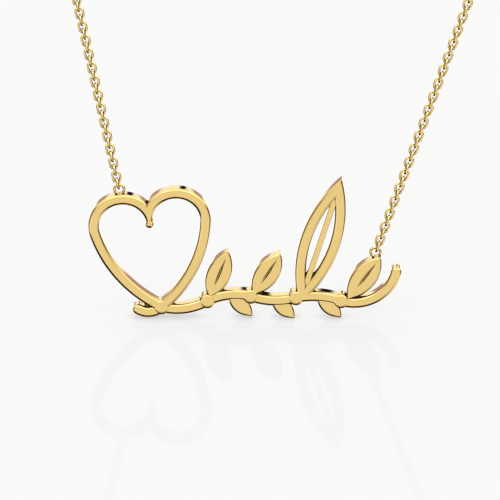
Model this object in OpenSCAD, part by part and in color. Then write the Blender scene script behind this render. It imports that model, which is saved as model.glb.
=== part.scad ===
// Nameplate necklace: a fine cable chain that carries a flat openwork plate.
// The plate's face looks towards -Y. The origin is where the clasp rests on the nape.

/* [Plate] */
// Width of every line of the plate
line_w = 1.3; // [1.1:0.05:1.5]
// Thickness of the plate, front to back
plate_t = 1.5; // [1.2:0.1:2]
// Bevel along the front and back edges
edge_bevel = 0.25; // [0.15:0.01:0.3]
// Radius of the two rounds of the heart, to the middle of the line
lobe_r = 3.5; // [3.3:0.05:3.7]
// Angle that the heart leans to the left
heart_lean = 7; // [4:1:9]
// Diameter of the round knots along the vine
knot_d = 1.9; // [1.8:0.05:2.1]
// Diameter of the bead in the heart's cleft
bead_d = 1; // [0.9:0.05:1.1]
// Length of the tall leaf, between the middles of its two points
tall_leaf = 14.5; // [12:0.5:15]

/* [Chain] */
// Thickness of the wire that the links are made of
link_wire = 0.33; // [0.28:0.01:0.36]
// Length of one link, outside
link_len = 1.62; // [1.62:0.01:1.8]
// Space between a link and whatever passes through it
link_gap = 0.1; // [0.1:0.01:0.13]
// Thickness of the wire of the eyelets and the end ring
ring_wire = 0.34; // [0.32:0.01:0.4]
// Hole in an eyelet
ring_bore = 0.82; // [0.8:0.01:0.95]
// Number of real links beside the left eyelet
left_count = 32; // [12:1:40]
// Number of real links beside the right eyelet
right_count = 42; // [12:1:50]
// Angle that the left chain spreads outwards
left_spread = 11.7; // [8:0.1:14]
// Angle that the right chain spreads outwards
right_spread = 19.1; // [15:0.1:22]
// Angle that both chains lean back
lean_back = 5; // [3:0.5:8]

/* [Loop] */
// Distance from the nape forward to the plate
reach = 109; // [99:1:119]
// Height of the nape above the foot of the plate
drop = 100; // [92:1:108]
// Width of the loop where it passes the neck's sides
neck_w = 118; // [110:1:126]

/* [Clasp] */
// Outer diameter of the spring ring
clasp_d = 5.5; // [5:0.1:6]
// Thickness of the spring ring's tube
clasp_wire = 1.2; // [1.1:0.05:1.3]
// Hole in the end ring that the clasp holds
end_bore = 2.4; // [2.2:0.1:2.8]

/* [Hidden] */
$fn = 96;
gold = [0.83, 0.68, 0.36];

// Plate: places are in its own plane, measured from its lower left corner
half_tip = 55;
lobe_from = 100;
lobe_to = -66;
heart_at = [9.3, 1.4];
side_r = fine(lobe_r * (sin(lobe_from) - sin(lobe_to)) / (sin(lobe_from) - cos(half_tip)));
lobe_at = [lobe_r * sin(lobe_to), side_r * (sin(half_tip) + cos(lobe_from)) - lobe_r * cos(lobe_from)];
// The vine's knots and its end, and how far each stretch bows upwards
vine = [heart_at, [14.8, 2.2], [20.0, 2.8], [25.4, 2.6], [30.8, 2.2], [37.4, 6.0]];
vine_bow = [-0.6, 0.5, -0.45, 0.4, -1.7];
curl_end = [6.5, 1.1];
curl_bow = -0.5;
// Lines stop this far from the middle of a knot
knot_inset = 0.5;
// Leaves: foot, length, direction, half width, open inside
leaves = [
    [[15.0, 2.6], 6.6, 69, 1.45, false],
    [[17.4, 3.0], 3.9, -44, 1.0, false],
    [[20.3, 3.0], 6.4, 59, 1.45, false],
    [[22.6, 2.6], 3.7, -44, 1.0, false],
    [[26.2, 3.0], tall_leaf, 73, 1.75, true],
    [[28.0, 2.9], 4.0, -44, 1.0, false],
    [[31.6, 2.4], 6.9, 55, 1.5, false]];
vein_w = 0.5;
rib_w = 0.7;
// The rib's ends stand this far from the leaf's points, inside the line round it
rib_inset = 0.8;
plate_mid = 19;
// Levels of the pieces: too little to see, so that no two faces lie in one plane
heart_up = 0.01;
vine_up = 0;
knot_up = 0.03;
bead_up = 0.02;
open_leaf_up = -0.01;
leaf_up = -0.02;
rib_up = -0.1;
// An eyelet's middle stands this far outside the edge that it is soldered to
eyelet_out = ring_bore / 2 + 0.08;
eyelet_r = (ring_bore + ring_wire) / 2;
left_eyelet = turned(heart_at, heart_lean, lobe_at + (lobe_r + line_w / 2 + eyelet_out) * [cos(88), sin(88)]);
last_leaf = leaves[6];
last_r = leaf_r(last_leaf);
right_eyelet = turned(last_leaf[0], last_leaf[2],
    [last_leaf[1] / 2, last_leaf[3] - last_r] + (last_r + eyelet_out) * [cos(49.5), sin(49.5)]);

// Chain: a link's bore clears the thickest wire that passes through it
link_bore = max(ring_wire, link_wire) + 2 * link_gap;
bow_r = (link_bore + link_wire) / 2;
// Every second link stays clear of the next but one, also where the wire is thicker
link_long = max(link_len, 4 * link_wire + 3 * link_gap);
link_side = link_long - link_wire - 2 * bow_r;
pitch = link_long - 2 * link_wire - link_gap;
first_link = link_long / 2 - link_wire - ring_wire / 2 - link_gap;
strand_d = 2 * bow_r + link_wire;
strand_gap = 0.15;
left_d = heading(-left_spread);
right_d = heading(right_spread);
// Where each chain pulls: the middle of the eyelet's wire, in line with the chain
left_pull = at_plate(left_eyelet) + eyelet_r * [-sin(left_spread), 0, cos(left_spread)];
right_pull = at_plate(right_eyelet) + eyelet_r * [sin(right_spread), 0, cos(right_spread)];
left_tip = left_pull + run(left_count) * left_d;
right_tip = right_pull + run(right_count) * right_d;

// Clasp: the end ring hangs on its left, and an eye like an eyelet is soldered to its right
clasp_r = (clasp_d - clasp_wire) / 2;
end_r = (end_bore + ring_wire) / 2;
end_x = clasp_wire / 2 + link_gap - clasp_r - end_bore / 2;
eye_x = clasp_d / 2 + eyelet_out;

// Loop: each side's way from the last real link to the clasp, as parts of half its width,
// of the reach and of the drop
left_way = [[0.48, 0.925, 0.36], [0.69, 0.82, 0.245]];
right_way = [[0.62, 0.92, 0.37], [0.78, 0.81, 0.25]];
back_way = [
    [0.915, 0.665, 0.16], [0.99, 0.475, 0.095], [0.955, 0.295, 0.048],
    [0.74, 0.12, 0.015], [0.41, 0.018, 0]];
left_end = [end_x - end_r - ring_wire / 2 - strand_gap, 0, 0];
right_end = [eye_x + eyelet_r + ring_wire / 2 + strand_gap, 0, 0];

function fine(x) = round(x * 1000) / 1000;
function turned(foot, angle, v) =
    foot + [v.x * cos(angle) - v.y * sin(angle), v.x * sin(angle) + v.y * cos(angle)];
function leaf_r(row) = (row[1] * row[1] / 4 + row[3] * row[3]) / (2 * row[3]);
function at_plate(p) = [p.x - plate_mid, -reach, p.y - drop];
function heading(spread) =
    [cos(lean_back) * sin(spread), sin(lean_back), cos(lean_back) * cos(spread)];
function run(count) = first_link + (count - 1) * pitch + link_long / 2 + strand_gap;
function unit(v) = v / norm(v);

// The way of one side, side = -1 for the left: a smooth curve through its points
function route(side, way, tip, d, end) =
    let (w = [for (p = concat(way, back_way)) [side * p.x * neck_w / 2, -p.y * reach, -p.z * drop]],
         last = w[len(w) - 1],
         p = concat([tip - 7 * d, tip, tip + 7 * d], w, [end, [2 * end.x - last.x, last.y, last.z]]))
    concat([for (i = [1:len(p) - 3], u = [0, 0.25, 0.5, 0.75]) between(p, i, u)], [end]);
function between(p, i, u) = 0.5 * (2 * p[i] + (p[i + 1] - p[i - 1]) * u
    + (2 * p[i - 1] - 5 * p[i] + 4 * p[i + 1] - p[i + 2]) * u * u
    + (3 * p[i] - p[i - 1] - 3 * p[i + 1] + p[i + 2]) * u * u * u);

// Every piece of the plate has its own level, up, by which it stands proud of both faces
// Cross section of a line of the plate, at radius r from the axis that it turns round
module line_section(r, up) {
    w = line_w / 2;
    translate([r, 0]) polygon([
        [-w, edge_bevel - up], [edge_bevel - w, -up], [w - edge_bevel, -up], [w, edge_bevel - up],
        [w, plate_t + up - edge_bevel], [w - edge_bevel, plate_t + up],
        [edge_bevel - w, plate_t + up], [-w, plate_t + up - edge_bevel]]);
}
// Half the section of a round piece with the same bevels
module round_section(r, up) {
    polygon([[0, -up], [r - edge_bevel, -up], [r, edge_bevel - up],
        [r, plate_t + up - edge_bevel], [r - edge_bevel, plate_t + up], [0, plate_t + up]]);
}
module arc(r, sweep, up) {
    rotate_extrude(angle = sweep) line_section(r, up);
}
module disc(r, up) {
    rotate_extrude() round_section(r, up);
}
// What a disc of radius r cuts away, with the bevels of the hole that it leaves
module cutter(r, up) {
    rotate_extrude() polygon([
        [0, -1 - up], [r + edge_bevel + 1, -1 - up], [r, edge_bevel - up],
        [r, plate_t + up - edge_bevel], [r + edge_bevel + 1, plate_t + up + 1],
        [0, plate_t + up + 1]]);
}
// A line from a to b that bows to its left, or to its right where bow is negative. It
// stops short of a knot, which covers both of the lines that meet there. A loose end at a
// is round instead.
module bowed(a, b, bow, loose) {
    c = norm(b - a);
    r = fine((c * c / 4 + bow * bow) / (2 * abs(bow)));
    half = asin(c / 2 / r);
    short = knot_inset / r * 180 / PI;
    translate([a.x, a.y, 0]) rotate([0, 0, atan2(b.y - a.y, b.x - a.x)])
        mirror([0, bow > 0 ? 1 : 0, 0])
            translate([c / 2, r - abs(bow), 0])
                rotate([0, 0, -90 - half + (loose ? 0 : short)]) {
                    arc(r, 2 * half - (loose ? 1 : 2) * short, vine_up);
                    if (loose) translate([r, 0, 0]) rotate([0, 0, 180])
                        rotate_extrude(angle = 180) round_section(line_w / 2, vine_up);
                }
}
// Left half of the heart, with its foot at the origin
module half_heart() {
    intersection() {
        translate([lobe_at.x, lobe_at.y, 0]) rotate([0, 0, lobe_from - 90]) {
            mirror([1, 0, 0]) arc(lobe_r, lobe_from - lobe_to + 24, heart_up);
            translate([side_r - lobe_r, 0, 0]) rotate([0, 0, 180])
                arc(side_r, half_tip + 90 - lobe_from - knot_inset / side_r * 180 / PI, heart_up);
        }
        translate([-20, -5, -1]) cube([20, 30, plate_t + 2]);
    }
}
// Two discs that cross, from foot to tip of a leaf along X
module lens(row, more, up) {
    r = leaf_r(row);
    intersection() {
        translate([row[1] / 2, r - row[3], 0]) disc(r + more, up);
        translate([row[1] / 2, row[3] - r, 0]) disc(r + more, up);
    }
}
module lens_cutter(row, up) {
    r = leaf_r(row);
    intersection() {
        translate([row[1] / 2, r - row[3], 0]) cutter(r - line_w / 2, up);
        translate([row[1] / 2, row[3] - r, 0]) cutter(r - line_w / 2, up);
    }
}
// An open leaf has a rib down its middle. A full one has a vein cut into its face, unless
// it is short.
module leaf(row) {
    translate([row[0].x, row[0].y, 0]) rotate([0, 0, row[2]])
        if (row[4]) {
            difference() {
                lens(row, line_w / 2, open_leaf_up);
                lens_cutter(row, open_leaf_up);
            }
            translate([rib_inset, -rib_w / 2, -rib_up])
                cube([row[1] - 2 * rib_inset, rib_w, plate_t + 2 * rib_up]);
        }
        else difference() {
            lens(row, 0, leaf_up);
            if (row[1] > 5) translate([0.32 * row[1], 0, plate_t + leaf_up]) rotate([45, 0, 0])
                translate([0, -vein_w / sqrt(8), -vein_w / sqrt(8)])
                    cube([0.5 * row[1], vein_w / sqrt(2), vein_w / sqrt(2)]);
        }
}
// A closed ring of round wire, flat in X and Y
module ring(r, wire) {
    rotate_extrude($fn = 48) translate([r, 0]) circle(d = wire, $fn = 32);
}
module nameplate() {
    color(gold) translate([-plate_mid, plate_t / 2 - reach, -drop]) rotate([90, 0, 0]) {
        translate([heart_at.x, heart_at.y, 0]) rotate([0, 0, heart_lean]) {
            half_heart();
            mirror([1, 0, 0]) half_heart();
            translate([0, lobe_at.y - 0.1, 0]) disc(bead_d / 2, bead_up);
        }
        bowed(curl_end, heart_at, curl_bow, true);
        for (i = [0:4]) {
            bowed(vine[i + 1], vine[i], -vine_bow[i], i == 4);
            translate([vine[i].x, vine[i].y, 0]) disc(knot_d / 2, knot_up);
        }
        for (row = leaves) leaf(row);
        for (p = [left_eyelet, right_eyelet])
            translate([p.x, p.y, plate_t / 2]) ring(eyelet_r, ring_wire);
    }
}

// One link, long in Z and wide in X
module link() {
    for (s = [0, 1]) mirror([0, 0, s]) translate([0, 0, link_side / 2]) rotate([90, 0, 0])
        rotate_extrude(angle = 180, $fn = 24) translate([bow_r, 0]) circle(d = link_wire, $fn = 16);
    for (x = [-bow_r, bow_r]) translate([x, 0, -link_side / 2])
        cylinder(d = link_wire, h = link_side, $fn = 16);
}
// A straight run of links, each turned a quarter from the one before
module links(pull, spread, count) {
    translate(pull) rotate([-lean_back, spread, 0])
        for (i = [0:count - 1]) translate([0, 0, first_link + i * pitch])
            rotate([0, 0, i % 2 == 0 ? 90 : 0]) link();
}
module left_links() {
    color(gold) links(left_pull, -left_spread, left_count);
}
module right_links() {
    color(gold) links(right_pull, right_spread, right_count);
}

// The hidden chain as a plain strand with eight sides along its way
module strand(way, up) {
    n = len(way);
    points = [for (i = [0:n - 1])
        let (t = unit(way[min(i + 1, n - 1)] - way[max(i - 1, 0)]), s = unit(cross(t, up)), v = cross(t, s))
        for (k = [0:7]) way[i] + strand_d / 2 * (cos(45 * k) * s + sin(45 * k) * v)];
    walls = [for (i = [0:n - 2], k = [0:7])
        [8 * i + k, 8 * i + 8 + k, 8 * i + 8 + (k + 1) % 8, 8 * i + (k + 1) % 8]];
    polyhedron(points, concat([[for (k = [0:7]) k]], walls, [[for (k = [7:-1:0]) 8 * (n - 1) + k]]));
}
module left_chain() {
    color(gold) strand(route(-1, left_way, left_tip, left_d, left_end), [0.5, -0.6, 0.6]);
}
module right_chain() {
    color(gold) strand(route(1, right_way, right_tip, right_d, right_end), [-0.5, -0.6, 0.6]);
}

// The spring ring, flat against the nape, with a soldered eye and the nub of its slide
module clasp() {
    color(gold) rotate([90, 0, 0]) {
        ring(clasp_r, clasp_wire);
        translate([eye_x, 0, 0]) ring(eyelet_r, ring_wire);
        rotate([0, 0, 60]) translate([clasp_r + clasp_wire * 0.3, 0, 0]) rotate([0, 90, 0])
            cylinder(d = 0.7, h = clasp_wire * 0.6, $fn = 32);
    }
}
module end_ring() {
    color(gold) translate([end_x, 0, 0]) ring(end_r, ring_wire);
}

nameplate();
left_links();
right_links();
left_chain();
right_chain();
clasp();
end_ring();
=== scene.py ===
"""Dresses the nameplate necklace: polished gold plate, linked chain, clasp, and a white studio.

Sizes are in millimetres in every class, as in the part's source, and become metres where a
mesh is made. The plate is drawn in its own plane, u to the right and v up from its lower left
corner, with its height h towards the viewer.
"""
import logging
import math
from collections.abc import Callable
from dataclasses import dataclass, field
from enum import Enum

import bpy
import numpy as np
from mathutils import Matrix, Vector


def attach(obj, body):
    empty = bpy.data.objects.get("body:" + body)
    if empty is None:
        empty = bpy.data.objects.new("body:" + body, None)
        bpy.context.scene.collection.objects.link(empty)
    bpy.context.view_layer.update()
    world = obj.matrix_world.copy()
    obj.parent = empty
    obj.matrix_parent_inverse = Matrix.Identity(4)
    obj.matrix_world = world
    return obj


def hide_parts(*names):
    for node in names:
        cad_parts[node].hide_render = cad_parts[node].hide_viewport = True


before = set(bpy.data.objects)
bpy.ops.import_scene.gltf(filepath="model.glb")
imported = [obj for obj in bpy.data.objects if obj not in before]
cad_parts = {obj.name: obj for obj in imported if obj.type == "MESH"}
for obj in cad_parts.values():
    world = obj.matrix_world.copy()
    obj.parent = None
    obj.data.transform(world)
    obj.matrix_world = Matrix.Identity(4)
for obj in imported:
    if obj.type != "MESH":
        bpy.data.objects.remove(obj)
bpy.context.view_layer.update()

LOG = logging.getLogger("necklace")
MM = 0.001
WHITE = (1.0, 1.0, 1.0, 1.0)
# Longest distance between two points of a line of the plate
STEP = 0.12
# From an eyelet's hole to the edge that it is soldered to, past which its wire sinks in
SOLDER = 0.08
# Distance within which two corners are one
SAME = 1e-6
# Places round a ring's wire, and along a small ring's
WIRE_SIDES, RING_PLACES = 14, 40
# Places round a bevel and round a line's end, and the widest bevel as a part of the half width
BEVEL_PLACES, END_PLACES, WIDEST_BEVEL = 5, 9, 0.98
# Beyond any direction's x, y or z, where a zone's range has no end
FAR = 2
# Shared by several pieces: wire and hole of an eyelet, room between pieces that hold each
# other, and the distances from the nape forward to the plate and down to its foot
RING_WIRE, RING_BORE, GAP, REACH, DROP = 0.34, 0.82, 0.1, 109, 100

Pair = tuple[float, float]
Triple = tuple[float, float, float]


class Side(Enum):
    """The two sides of the loop, as the viewer sees them."""

    LEFT = -1
    RIGHT = 1


class End(Enum):
    """How a line of the plate ends."""

    CUT = "cut square, inside another piece"
    ROUND = "half round"
    CLOSED = "runs to a point and needs no end"


# Surfaces

@dataclass
class Shell:
    """A closed surface.

    Attributes:
        points: its corners, n by 3, in millimetres.
        groups: arrays of faces, f by 3 or f by 4.
        sets: for each group, the number of the set that it is shaded smooth with. An edge
            between two sets stays sharp.
    """

    points: np.ndarray
    groups: list[np.ndarray]
    sets: list[int]

    def moved(self, place: Callable[[np.ndarray], np.ndarray]) -> "Shell":
        """The same shell with its corners taken through a function of the whole array."""
        return Shell(place(self.points), self.groups, self.sets)


def grid_faces(rows: int, cols: int, wrap: bool) -> np.ndarray:
    """Four-sided faces of a grid whose columns close on themselves.

    Corner (i, j) has number i * cols + j. Each face joins it with (i + 1, j), (i + 1, j + 1)
    and (i, j + 1), with j counted round.

    Args:
        rows: number of rings.
        cols: corners in each ring.
        wrap: whether the last ring joins the first.

    Returns:
        Faces, f by 4.
    """
    i = np.arange(rows if wrap else rows - 1)[:, None]
    j = np.arange(cols)[None, :]
    n, k = (i + 1) % rows, (j + 1) % cols
    return np.stack([i * cols + j, n * cols + j, n * cols + k, i * cols + k], -1).reshape(-1, 4)


def swept(rings: np.ndarray, wrap: bool = False, caps: tuple[bool, bool] = (False, False)) -> Shell:
    """A shell through a row of rings.

    Args:
        rings: rings by corners by 3.
        wrap: whether the last ring joins the first.
        caps: whether the first and the last ring are closed, with a fan of triangles round
            the ring's middle.

    Returns:
        The shell, with each cap in a set of its own.
    """
    n, m = rings.shape[:2]
    points = np.concatenate([rings.reshape(-1, 3), rings[0].mean(0)[None], rings[-1].mean(0)[None]])
    groups, sets = [grid_faces(n, m, wrap)], [0]
    j = np.arange(m)
    k = (j + 1) % m
    last = (n - 1) * m
    if caps[0]:
        groups.append(np.stack([k, np.full(m, n * m), j], -1))
        sets.append(1)
    if caps[1]:
        groups.append(np.stack([last + j, np.full(m, n * m + 1), last + k], -1))
        sets.append(2)
    return Shell(points, groups, sets)


def volume(shell: Shell) -> float:
    """Signed volume: a sixth of the sum of the triple products of each triangle's corners.

    Args:
        shell: a closed shell.

    Returns:
        The volume, negative where the faces point inwards.
    """
    total = 0.0
    for faces in shell.groups:
        p = shell.points[faces]
        for a, b in [(1, 2), (2, 3)][:faces.shape[1] - 2]:
            total += np.einsum("ij,ij->", p[:, 0], np.cross(p[:, a], p[:, b])) / 6
    return float(total)


def outward(shell: Shell) -> Shell:
    """A closed shell with its faces turned round if its volume shows that they point inwards."""
    if volume(shell) < 0:
        return Shell(shell.points, [faces[:, ::-1] for faces in shell.groups], shell.sets)
    return shell


def with_mirror(half: Shell, axis: int) -> Shell:
    """A cut half and its mirror image as one shell, open to each other along the cut.

    Faces whose corners all have 0 for the mirrored coordinate lie in the cut and are left out.
    The halves are shaded as sets of their own, so that the crease between them stays sharp.

    Args:
        half: a closed shell that ends at the mirror plane.
        axis: number of the coordinate that the mirror turns round.

    Returns:
        The whole shell.
    """
    half = outward(half)
    kept = [faces[(np.abs(half.points[faces, axis]) > SAME).any(1)] for faces in half.groups]
    turn = np.where(np.arange(3) == axis, -1, 1)
    return Shell(np.concatenate([half.points, half.points * turn]),
                 kept + [faces[:, ::-1] + len(half.points) for faces in kept],
                 half.sets + [mark + len(half.sets) for mark in half.sets])


def welded(shell: Shell) -> Shell:
    """The shell with equal corners merged and folded faces dropped.

    A face that has lost one corner becomes a triangle, and one that has lost two is left out.

    Args:
        shell: a shell whose seams and poles lie on each other.

    Returns:
        The same surface, closed at its seams.
    """
    points, back = np.unique(np.round(shell.points, 6), axis=0, return_inverse=True)
    back = back.reshape(-1)
    found = []
    for faces, mark in zip(shell.groups, shell.sets):
        faces = back[faces]
        same = faces == np.roll(faces, -1, 1)
        found.append((faces[same.sum(1) == 0], mark))
        if faces.shape[1] == 4:
            one, where = faces[same.sum(1) == 1], same[same.sum(1) == 1].argmax(1)
            keep = (where[:, None] + np.array([1, 2, 3])) % 4
            found.append((np.take_along_axis(one, keep, 1), mark))
    found = [(faces, mark) for faces, mark in found if len(faces)]
    used = np.unique(np.concatenate([faces.reshape(-1) for faces, _ in found]))
    number = np.zeros(len(points), int)
    number[used] = np.arange(len(used))
    return Shell(points[used], [number[faces] for faces, _ in found], [mark for _, mark in found])


def corner_normals(shell: Shell) -> np.ndarray:
    """Normals for each face corner, weighted by area, so that wide flats stay flat.

    A face's area vector is half the cross product of its diagonals, or of two sides of a
    triangle. A corner's normal is the sum of these over the faces of its set that meet there.

    Args:
        shell: the shell.

    Returns:
        Normals, one for each corner of each face, in the order of the groups.
    """
    out = [None] * len(shell.groups)
    for mark in set(shell.sets):
        members = [g for g, other in enumerate(shell.sets) if other == mark]
        total = np.zeros_like(shell.points)
        for g in members:
            faces = shell.groups[g]
            p = shell.points[faces]
            if faces.shape[1] == 4:
                area = np.cross(p[:, 2] - p[:, 0], p[:, 3] - p[:, 1]) / 2
            else:
                area = np.cross(p[:, 1] - p[:, 0], p[:, 2] - p[:, 0]) / 2
            for c in range(faces.shape[1]):
                np.add.at(total, faces[:, c], area)
        size = np.linalg.norm(total, axis=1, keepdims=True)
        total /= np.where(size > 0, size, 1)
        for g in members:
            out[g] = total[shell.groups[g]].reshape(-1, 3)
    return np.concatenate(out)


def linked(name: str, data: bpy.types.ID) -> bpy.types.Object:
    """Makes an object of a mesh, a camera or a light, and links it to the scene.

    Args:
        name: the object's name.
        data: what it shows.

    Returns:
        The object.
    """
    made = bpy.data.objects.new(name, data)
    bpy.context.scene.collection.objects.link(made)
    return made


def put(name: str, shells: list[Shell], finish: bpy.types.Material) -> bpy.types.Object:
    """Makes one object of several shells, with its place in its mesh.

    Args:
        name: the object's name.
        shells: shells in the row's frame, in millimetres.
        finish: its material.

    Returns:
        The object, linked to the scene.
    """
    points, faces, normals, base = [], [], [], 0
    for shell in shells:
        closed = welded(outward(shell))
        normals.append(corner_normals(closed))
        points.append(closed.points)
        faces += [row for g in closed.groups for row in (g + base).tolist()]
        base += len(closed.points)
    mesh = bpy.data.meshes.new(name)
    mesh.from_pydata(np.concatenate(points) * MM, [], faces)
    mesh.polygons.foreach_set("use_smooth", np.ones(len(mesh.polygons), bool))
    mesh.normals_split_custom_set(np.concatenate(normals).tolist())
    mesh.materials.append(finish)
    return linked(name, mesh)


def half_section(half: np.ndarray, thick: float, bevel: float,
                 front: tuple[float, ...] = (0.0, 0.3)) -> tuple[np.ndarray, np.ndarray]:
    """Right half of a flat line's cross section, from the middle of its front to its back.

    With q from 0 to 90 degrees, the front edge runs through half - bevel * (1 - sin q) across
    and thick / 2 - bevel * (1 - cos q) high, and the back edge is its mirror image.

    Args:
        half: half width at each place along the line, n.
        thick: thickness of the plate.
        bevel: radius of the rounded edge, less where the line is narrower.
        front: extra places across the front, from the middle.

    Returns:
        Distance across and height, each n by k.
    """
    round_off = np.minimum(bevel, WIDEST_BEVEL * half)[:, None]
    q = np.linspace(0, math.pi / 2, BEVEL_PLACES)
    flat = np.minimum(np.array(front)[None, :], half[:, None] - round_off)
    edge = half[:, None] - round_off * (1 - np.sin(q))
    rise = thick / 2 - round_off * (1 - np.cos(q))
    top = np.full_like(flat, thick / 2)
    across = np.concatenate([flat, edge, edge[:, ::-1], flat[:, :1]], 1)
    height = np.concatenate([top, rise, -rise[:, ::-1], -top[:, :1]], 1)
    return across, height


def cut_range(start: np.ndarray, slope: np.ndarray) -> tuple[np.ndarray, np.ndarray]:
    """Lowest and highest t at which start + t * slope isn't above 0, one of them without limit."""
    at = -start / np.where(slope == 0, 1, slope)
    return np.where(slope < 0, at, -np.inf), np.where(slope > 0, at, np.inf)


def ribbon(path: np.ndarray, normal: np.ndarray, half: np.ndarray, thick: float, bevel: float,
           ends: tuple[End, End], front: tuple[float, ...] = (0.0, 0.3),
           cut: tuple[np.ndarray, np.ndarray] | None = None) -> np.ndarray:
    """Rings of a flat line that is carried along a path in the plate's plane.

    A ring is the section's right half followed by its left half backwards. A corner is the
    path's point, plus its distance across along the normal, at its height. A round end turns
    both halves about the path's last point until they meet in front of it.

    Args:
        path: points, n by 2.
        normal: unit normals to the path's right or left, n by 2.
        half: half width at each point.
        thick: thickness.
        bevel: radius of the rounded edges.
        ends: how the line starts and how it stops.
        front: extra places across the front.
        cut: for each point, the lowest and the highest distance across, where a mirror line
            cuts the line off.

    Returns:
        Rings of corners (u, v, h).
    """
    across, height = half_section(half, thick, bevel, front)
    side = np.concatenate([np.ones(across.shape[1]), -np.ones(across.shape[1] - 2)])
    order = np.concatenate([np.arange(across.shape[1]), np.arange(across.shape[1] - 2, 0, -1)])
    across, height = across[:, order], height[:, order]
    signed = across * side
    if cut:
        signed = np.clip(signed, cut[0][:, None], cut[1][:, None])
    flat = path[:, None] + signed[..., None] * normal[:, None]
    rings = [np.concatenate([flat, height[..., None]], -1)]
    for end, at, into in [(ends[0], 0, 1), (ends[1], -1, -2)]:
        if end is not End.ROUND:
            continue
        out = path[at] - path[into]
        out = out - normal[at] * (out @ normal[at])
        out = out / np.linalg.norm(out)
        turn = np.linspace(0, math.pi / 2, END_PLACES)[1:, None, None]
        way = side[None, :, None] * np.cos(turn) * normal[at] + np.sin(turn) * out
        cap = path[at] + across[at][None, :, None] * way
        level = np.broadcast_to(height[at][None, :, None], cap.shape[:2] + (1,))
        cap = np.concatenate([cap, level], -1)
        rings = [cap[::-1]] + rings if at == 0 else rings + [cap]
    return np.concatenate(rings)


def sine(degrees: float) -> float:
    """Sine of an angle in degrees."""
    return math.sin(math.radians(degrees))


def cosine(degrees: float) -> float:
    """Cosine of an angle in degrees."""
    return math.cos(math.radians(degrees))


def polar(radius: float, degrees: float) -> np.ndarray:
    """The point (radius * cos, radius * sin) of an angle in degrees."""
    return radius * np.array([cosine(degrees), sine(degrees)])


def laid(points: np.ndarray, degrees: float, foot: Pair) -> np.ndarray:
    """Takes (u, v, h) to (foot's u + u * cos - v * sin, foot's v + u * sin + v * cos, h)."""
    u, v, h = points[..., 0], points[..., 1], points[..., 2]
    return np.stack([foot[0] + u * cosine(degrees) - v * sine(degrees),
                     foot[1] + u * sine(degrees) + v * cosine(degrees), h], -1)


def arc(centre: np.ndarray, radius: float, start: float,
        stop: float) -> tuple[np.ndarray, np.ndarray]:
    """Points on a circle and the directions away from its centre.

    Args:
        centre: the circle's centre.
        radius: its radius.
        start: first angle in degrees.
        stop: last angle in degrees.

    Returns:
        Points and unit normals, each n by 2.
    """
    count = max(3, int(abs(math.radians(stop - start)) * radius / STEP) + 2)
    a = np.radians(np.linspace(start, stop, count))
    normal = np.stack([np.cos(a), np.sin(a)], -1)
    return centre + radius * normal, normal


def all_round(count: int) -> np.ndarray:
    """Angles in radians of a number of places spaced evenly round a circle, from 0."""
    return np.linspace(0, 2 * math.pi, count, endpoint=False)


def along_u(s: np.ndarray) -> tuple[np.ndarray, np.ndarray]:
    """The points (s, 0) and their unit normals (0, 1)."""
    return np.stack([s, 0 * s], -1), np.tile([0.0, 1.0], (len(s), 1))


def turned(radii: np.ndarray, heights: np.ndarray, sides: int = 48) -> np.ndarray:
    """A profile turned round the h axis: (radius * cos a, radius * sin a, height).

    Args:
        radii: the profile's distances from the axis.
        heights: its heights.
        sides: corners in each ring.

    Returns:
        Rings of corners.
    """
    a = all_round(sides)
    u, v = np.outer(radii, np.cos(a)), np.outer(radii, np.sin(a))
    return np.stack([u, v, np.broadcast_to(heights[:, None], u.shape)], -1)


def ring_grid(radius: float, wire: np.ndarray, around: int, sides: int) -> np.ndarray:
    """Rings of a bent wire: (radius + r * cos b) away from the axis and r * sin b along it.

    Args:
        radius: from the axis to the wire's middle.
        wire: wire radius for each place along and round it, around by sides, or one value.
        around: places along the wire.
        sides: places round it.

    Returns:
        Rings of corners, with the axis along the third coordinate.
    """
    a, b = all_round(around)[:, None], all_round(sides)[None, :]
    wire = np.broadcast_to(wire, (around, sides))
    away = radius + wire * np.cos(b)
    return np.stack([away * np.cos(a), away * np.sin(a), wire * np.sin(b)], -1)


def eased(x: np.ndarray) -> np.ndarray:
    """A smooth step: x squared * (3 - 2 * x), with x held between 0 and 1."""
    return np.clip(x, 0, 1) ** 2 * (3 - 2 * np.clip(x, 0, 1))


def window(x: np.ndarray, ends: Pair, edge: float) -> np.ndarray:
    """1 between two ends and 0 outside them, with a smooth step, edge wide, inwards from each."""
    return eased((x - ends[0]) / edge) * eased((ends[1] - x) / edge)


def round_ring(at: Pair, radius: float, wire: float, places: int = RING_PLACES) -> Shell:
    """A closed ring of round wire, flat in its plane, with its radius to the wire's middle."""
    return swept(ring_grid(radius, wire / 2, places, WIRE_SIDES) + np.array([*at, 0.0]), wrap=True)


# Finishes

Feed = float | tuple[float, ...] | bpy.types.NodeSocket


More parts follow.
